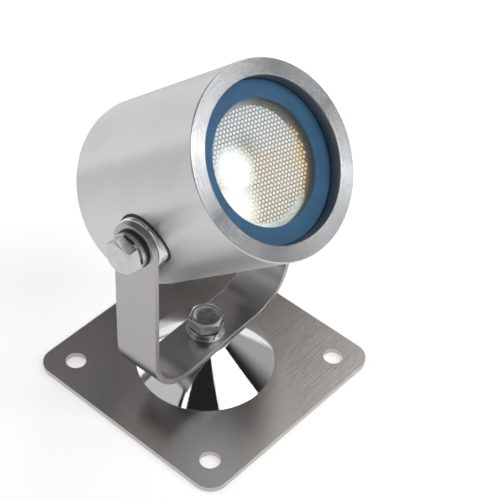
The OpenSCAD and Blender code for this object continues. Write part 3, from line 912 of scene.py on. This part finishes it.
def make_lens():
    """The lamp's cover lens: small six-sided prisms in close-packed rows on a plain disc."""
    z0, z1 = span("lamp_cover_lens", BEAM)
    r = reach("lamp_cover_lens", BEAM)
    prism_h = 0.62
    foot_z = z1 - prism_h
    disc = lathe("lamp_lens_disc", soften([
        (0, z0, 0), (r, z0, 0.1), (r, foot_z, 0.25), (0, foot_z, 0)], 0.2, 4),
                 BEAM, "head", 160, closed=False)
    pitch = 1.69
    rows_at = math.radians(46)
    # corner radius and height above the disc, from the prism's foot to its blunt tip
    tiers = [(0.55 * pitch, -0.1), (0.51 * pitch, 0.08), (0.33 * pitch, 0.46), (0.15 * pitch, prism_h)]
    corners = [rows_at + math.pi / 6 + k * math.pi / 3 for k in range(6)]
    half_count = int(r / pitch * 1.2) + 2
    bm = bmesh.new()
    for i in range(-half_count, half_count + 1):
        for j in range(-half_count, half_count + 1):
            along, across = (i + j / 2) * pitch, j * pitch * math.sqrt(0.75)
            cx = along * math.cos(rows_at) - across * math.sin(rows_at)
            cy = along * math.sin(rows_at) + across * math.cos(rows_at)
            if math.hypot(cx, cy) > r - 0.55 * pitch:
                continue
            rings = [[bm.verts.new((cx + radius * math.cos(t), cy + radius * math.sin(t), foot_z + z))
                      for t in corners] for radius, z in tiers]
            bridge(bm, zip(rings, rings[1:]))
            bm.faces.new(rings[0])
            bm.faces.new(rings[-1])
    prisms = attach(new_object("lamp_lens_prisms", bm, BEAM), "head")
    stands_for([disc, prisms], "lamp_cover_lens", lens_material(foot_z, z1, 21.3))


# ---- Back ----------------------------------------------------------------------------------

def make_back():
    """The rear cover with a turned raised ring, its four countersunk screws and the cord's gland."""
    rear, front = span("rear_cover", BEAM)
    r = reach("rear_cover", BEAM)
    behind = BEAM @ shift(z=rear) @ turn(180, "X")
    gland_r = 8.02
    screws_at = 30.4
    cover = lathe("rear_cover_turned", soften([
        (gland_r, 0, 0.3), (12.4, 0, 0.1), (12.6, 0.18, 0.1), (22.0, 0.18, 0.1), (22.3, 0, 0.1),
        (r, 0, 0.5), (r, rear - front, 0.1), (gland_r, rear - front, 0.1)], 0.2, 4), behind, "head", 220)
    screws = []
    for i in range(4):
        t = math.radians(45 + 90 * i)
        centre = (screws_at * math.cos(t), screws_at * math.sin(t))
        hole = extrude("hole", circle_points(4.1, 48, centre), -1.9, 1, behind)
        boolean(cover, hole, "DIFFERENCE")
        matrix = behind @ shift(*centre, 0) @ turn(180, "X") @ turn(17 * i, "Z")
        screws.append(countersunk_head(f"rear_screw_{i + 1}", 2.0, 4.0, 2.2, matrix, "head"))
    smooth(cover, 32)
    stands_for([cover], "rear_cover", MAT["cover"])
    stands_for(screws, "rear_screws", MAT["bolt"])
    make_gland(behind)


def make_gland(behind):
    """The cable gland: seal, hexagon body, cap nut and rubber insert, on the rear cover's own axis."""
    z0, z1 = span("gland_seal", behind)
    seal = lathe("gland_seal_ring", tube_profile(8.0, reach("gland_seal", behind), z0, z1, 0.4, 4),
                 behind, "head")
    stands_for([seal], "gland_seal", MAT["rubber"])
    nut_z0, nut_z1 = span("gland_cap_nut", behind)
    hex_h = nut_z0 - 0.5 - z1
    body_hex = hex_head("gland_body_hex", 20.0, hex_h, behind @ shift(z=z1), "head", 0, 0.3, 0.0)
    collar = lathe("gland_body_thread", soften([(3.6, -2, 0), (7.9, -2, 0), (7.9, z1 + hex_h + 7.9),
                                                (6.3, z1 + hex_h + 7.9), (6.3, z1 + hex_h, 0),
                                                (3.6, z1 + hex_h, 0)], 0.2, 3), behind, "head")
    stands_for([body_hex, collar], "gland_body", MAT["nickel"])
    nut = make_cap_nut(behind, nut_z0, nut_z1)
    stands_for([nut], "gland_cap_nut", MAT["nickel"])
    z0, z1 = span("gland_insert", behind)
    insert = lathe("gland_insert_rubber", soften([
        (3.4, z0), (6.2, z0), (6.2, z1 - 1.2), (5.2, z1), (3.4, z1, 0.4)], 0.3, 4), behind, "head")
    stands_for([insert], "gland_insert", MAT["rubber"])


def make_cap_nut(behind, z0, z1):
    """The gland's cap nut: a domed nose, twelve shallow grip flats and a chamfered mouth."""
    count = 192
    r = 10.2
    flats = 12
    profile = soften([(8.05, z0, 0.2), (r, z0, 0.5), (r, z0 + 7.2, 0.6), (r - 0.9, z0 + 9.2, 0.8),
                      (r - 3, z1 - 0.8, 1.0), (r - 4, z1, 0.4), (3.85, z1, 0.4), (3.85, z1 - 4, 0),
                      (8.05, z1 - 4, 0)], 0.2, 4)
    bm = bmesh.new()
    rings = []
    for radius, z in profile:
        ring = []
        for i in range(count):
            t = 2 * math.pi * i / count
            rr = radius
            if radius > r - 0.45 and z0 < z < z0 + 7.4:
                step = (t + math.pi / flats) % (2 * math.pi / flats) - math.pi / flats
                rr = min(radius, (r - 0.34) / math.cos(step))
            ring.append(bm.verts.new((rr * math.cos(t), rr * math.sin(t), z)))
        rings.append(ring)
    bridge(bm, zip(rings, rings[1:] + rings[:1]))
    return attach(smooth(new_object("gland_cap_nut_turned", bm, behind), 28), "head")


def paint_cad():
    """The inner pieces keep their CAD shape and take a detailed finish."""
    finishes = {
        "pedestal_screws": "bolt", "lamp_reflector": "reflector", "led_board": "board",
        "lamp_base": "ceramic",
        "lamp_pins": "bolt", "lamp_socket": "ceramic", "socket_leads": "lead", "control_board": "board",
        "control_parts": "black", "board_spacers": "brass", "board_screws": "bolt", "rear_seal": "rubber",
        "gland_lock_nut": "nickel", "led_emitters": "ceramic",
    }
    for node, finish in finishes.items():
        obj = frame["nodes"][node]
        for i in range(max(1, len(obj.material_slots))):
            if obj.material_slots:
                obj.material_slots[i].material = MAT[finish]
            else:
                obj.data.materials.append(MAT[finish])


# ---- Studio --------------------------------------------------------------------------------

def make_floor():
    """A pale sheet that glows a little, so that it stays nearly white."""
    bm = bmesh.new()
    half = 3.0
    corners = ((-half, -half, 0), (half, -half, 0), (half, half, 0), (-half, half, 0))
    bm.faces.new([bm.verts.new(p) for p in corners])
    floor = new_object("floor", bm, Matrix.Translation((0, 0, -0.0002)))
    n = Nodes("pale_floor")
    coords = n.coordinates()
    fleck = n.noise(coords, 40.0, 2.0, 0.5)
    n.set(base=n.ramp(fleck, [(0.3, grey(0.86)), (0.7, grey(0.90))]), rough=0.7, specular=0.1,
          emission=(1, 1, 1, 1), glow=0.44)
    paint(floor, n.material)


def soft_box(name, azimuth, elevation, distance, size, radiance, size_y=None, colour=(1, 1, 1)):
    """A soft box of even brightness, aimed at the middle of the object."""
    a, e = math.radians(azimuth), math.radians(elevation)
    target = Vector((0, 0, 0.08))
    place = target + distance * Vector((math.sin(a) * math.cos(e), -math.cos(a) * math.cos(e), math.sin(e)))
    data = bpy.data.lights.new(name, "AREA")
    data.shape = "RECTANGLE"
    data.size = size
    data.size_y = size_y or size
    data.energy = radiance * math.pi * data.size * data.size_y
    data.color = colour
    obj = bpy.data.objects.new(name, data)
    bpy.context.scene.collection.objects.link(obj)
    obj.location = place
    obj.rotation_euler = (target - place).to_track_quat("-Z", "Y").to_euler()
    obj.visible_camera = False
    return obj


def make_world(horizon=0.45, ceiling=0.02):
    """A pale sweep all round, up to about 25 degrees, under a dark, slightly warm ceiling."""
    world = bpy.data.worlds.new("studio")
    bpy.context.scene.world = world
    world.use_nodes = True
    tree = world.node_tree
    direction = tree.nodes.new("ShaderNodeTexCoord").outputs["Generated"]
    split = tree.nodes.new("ShaderNodeSeparateXYZ")
    tree.links.new(direction, split.inputs[0])
    height = tree.nodes.new("ShaderNodeMapRange")
    height.interpolation_type = "SMOOTHSTEP"
    for socket, value in zip(height.inputs[1:5], (0.26, 0.56, 0.0, 1.0)):
        socket.default_value = value
    tree.links.new(split.outputs[2], height.inputs[0])
    mix = tree.nodes.new("ShaderNodeMix")
    mix.data_type = "RGBA"
    mix.inputs[6].default_value = (horizon, horizon, horizon, 1)
    mix.inputs[7].default_value = (ceiling * 1.08, ceiling, ceiling * 0.98, 1)
    tree.links.new(height.outputs[0], mix.inputs[0])
    tree.links.new(mix.outputs[2], tree.nodes["Background"].inputs[0])


def make_camera():
    azimuth, elevation, roll = math.radians(-50.214), math.radians(43.444), math.radians(2.901)
    focal_px = 1487.2
    distance = 0.670
    aim = Vector((0.06187, 0.03026, 0.0026))
    back = Vector((math.sin(azimuth) * math.cos(elevation), -math.cos(azimuth) * math.cos(elevation),
                   math.sin(elevation)))
    right = Vector((math.cos(azimuth), math.sin(azimuth), 0))
    up = back.cross(right)
    turned_right = right * math.cos(roll) + up * math.sin(roll)
    turned_up = up * math.cos(roll) - right * math.sin(roll)
    data = bpy.data.cameras.new("camera")
    data.sensor_width = 36
    data.lens = focal_px / 500 * 36
    data.clip_start = 0.01
    obj = bpy.data.objects.new("camera", data)
    bpy.context.scene.collection.objects.link(obj)
    matrix = Matrix((turned_right, turned_up, back)).transposed().to_4x4()
    matrix.translation = aim + back * distance
    obj.matrix_world = matrix
    bpy.context.scene.camera = obj


make_camera()
make_world()
# the two front boxes light the rim and the lens, the back boxes draw the shapes in the steel,
# and the fill only brightens the floor that the housing reflects
soft_box("front_right_box", 11, 50, 1.2, 0.85, 2.4)
soft_box("front_low_box", 31, 37, 1.2, 0.27, 3.0)
soft_box("back_right_box", 93, 47, 1.3, 0.95, 1.25, colour=(1, 0.96, 0.92))
soft_box("bolt_glint_box", 87, 57, 1.2, 0.2, 5.0)
soft_box("back_box", 152, 47, 1.3, 0.35, 0.4)
soft_box("back_left_fill", -160, 30, 1.2, 0.6, 2.4).visible_glossy = False
soft_box("left_box", -125, 42, 1.2, 0.95, 0.62)
soft_box("left_strip", -83, 57, 1.2, 0.10, 2.0, 0.6)
soft_box("back_sweep", 178, 11, 1.3, 1.5, 0.95, 0.5)
make_floor()

make_base_plate()
make_cone()
make_yoke_bolt()
make_yoke()
body_r = make_housing()
make_pivots(body_r)
make_front()
make_lens()
make_back()
paint_cad()

bpy.context.scene.view_settings.view_transform = "Standard"
bpy.context.view_layer.update()
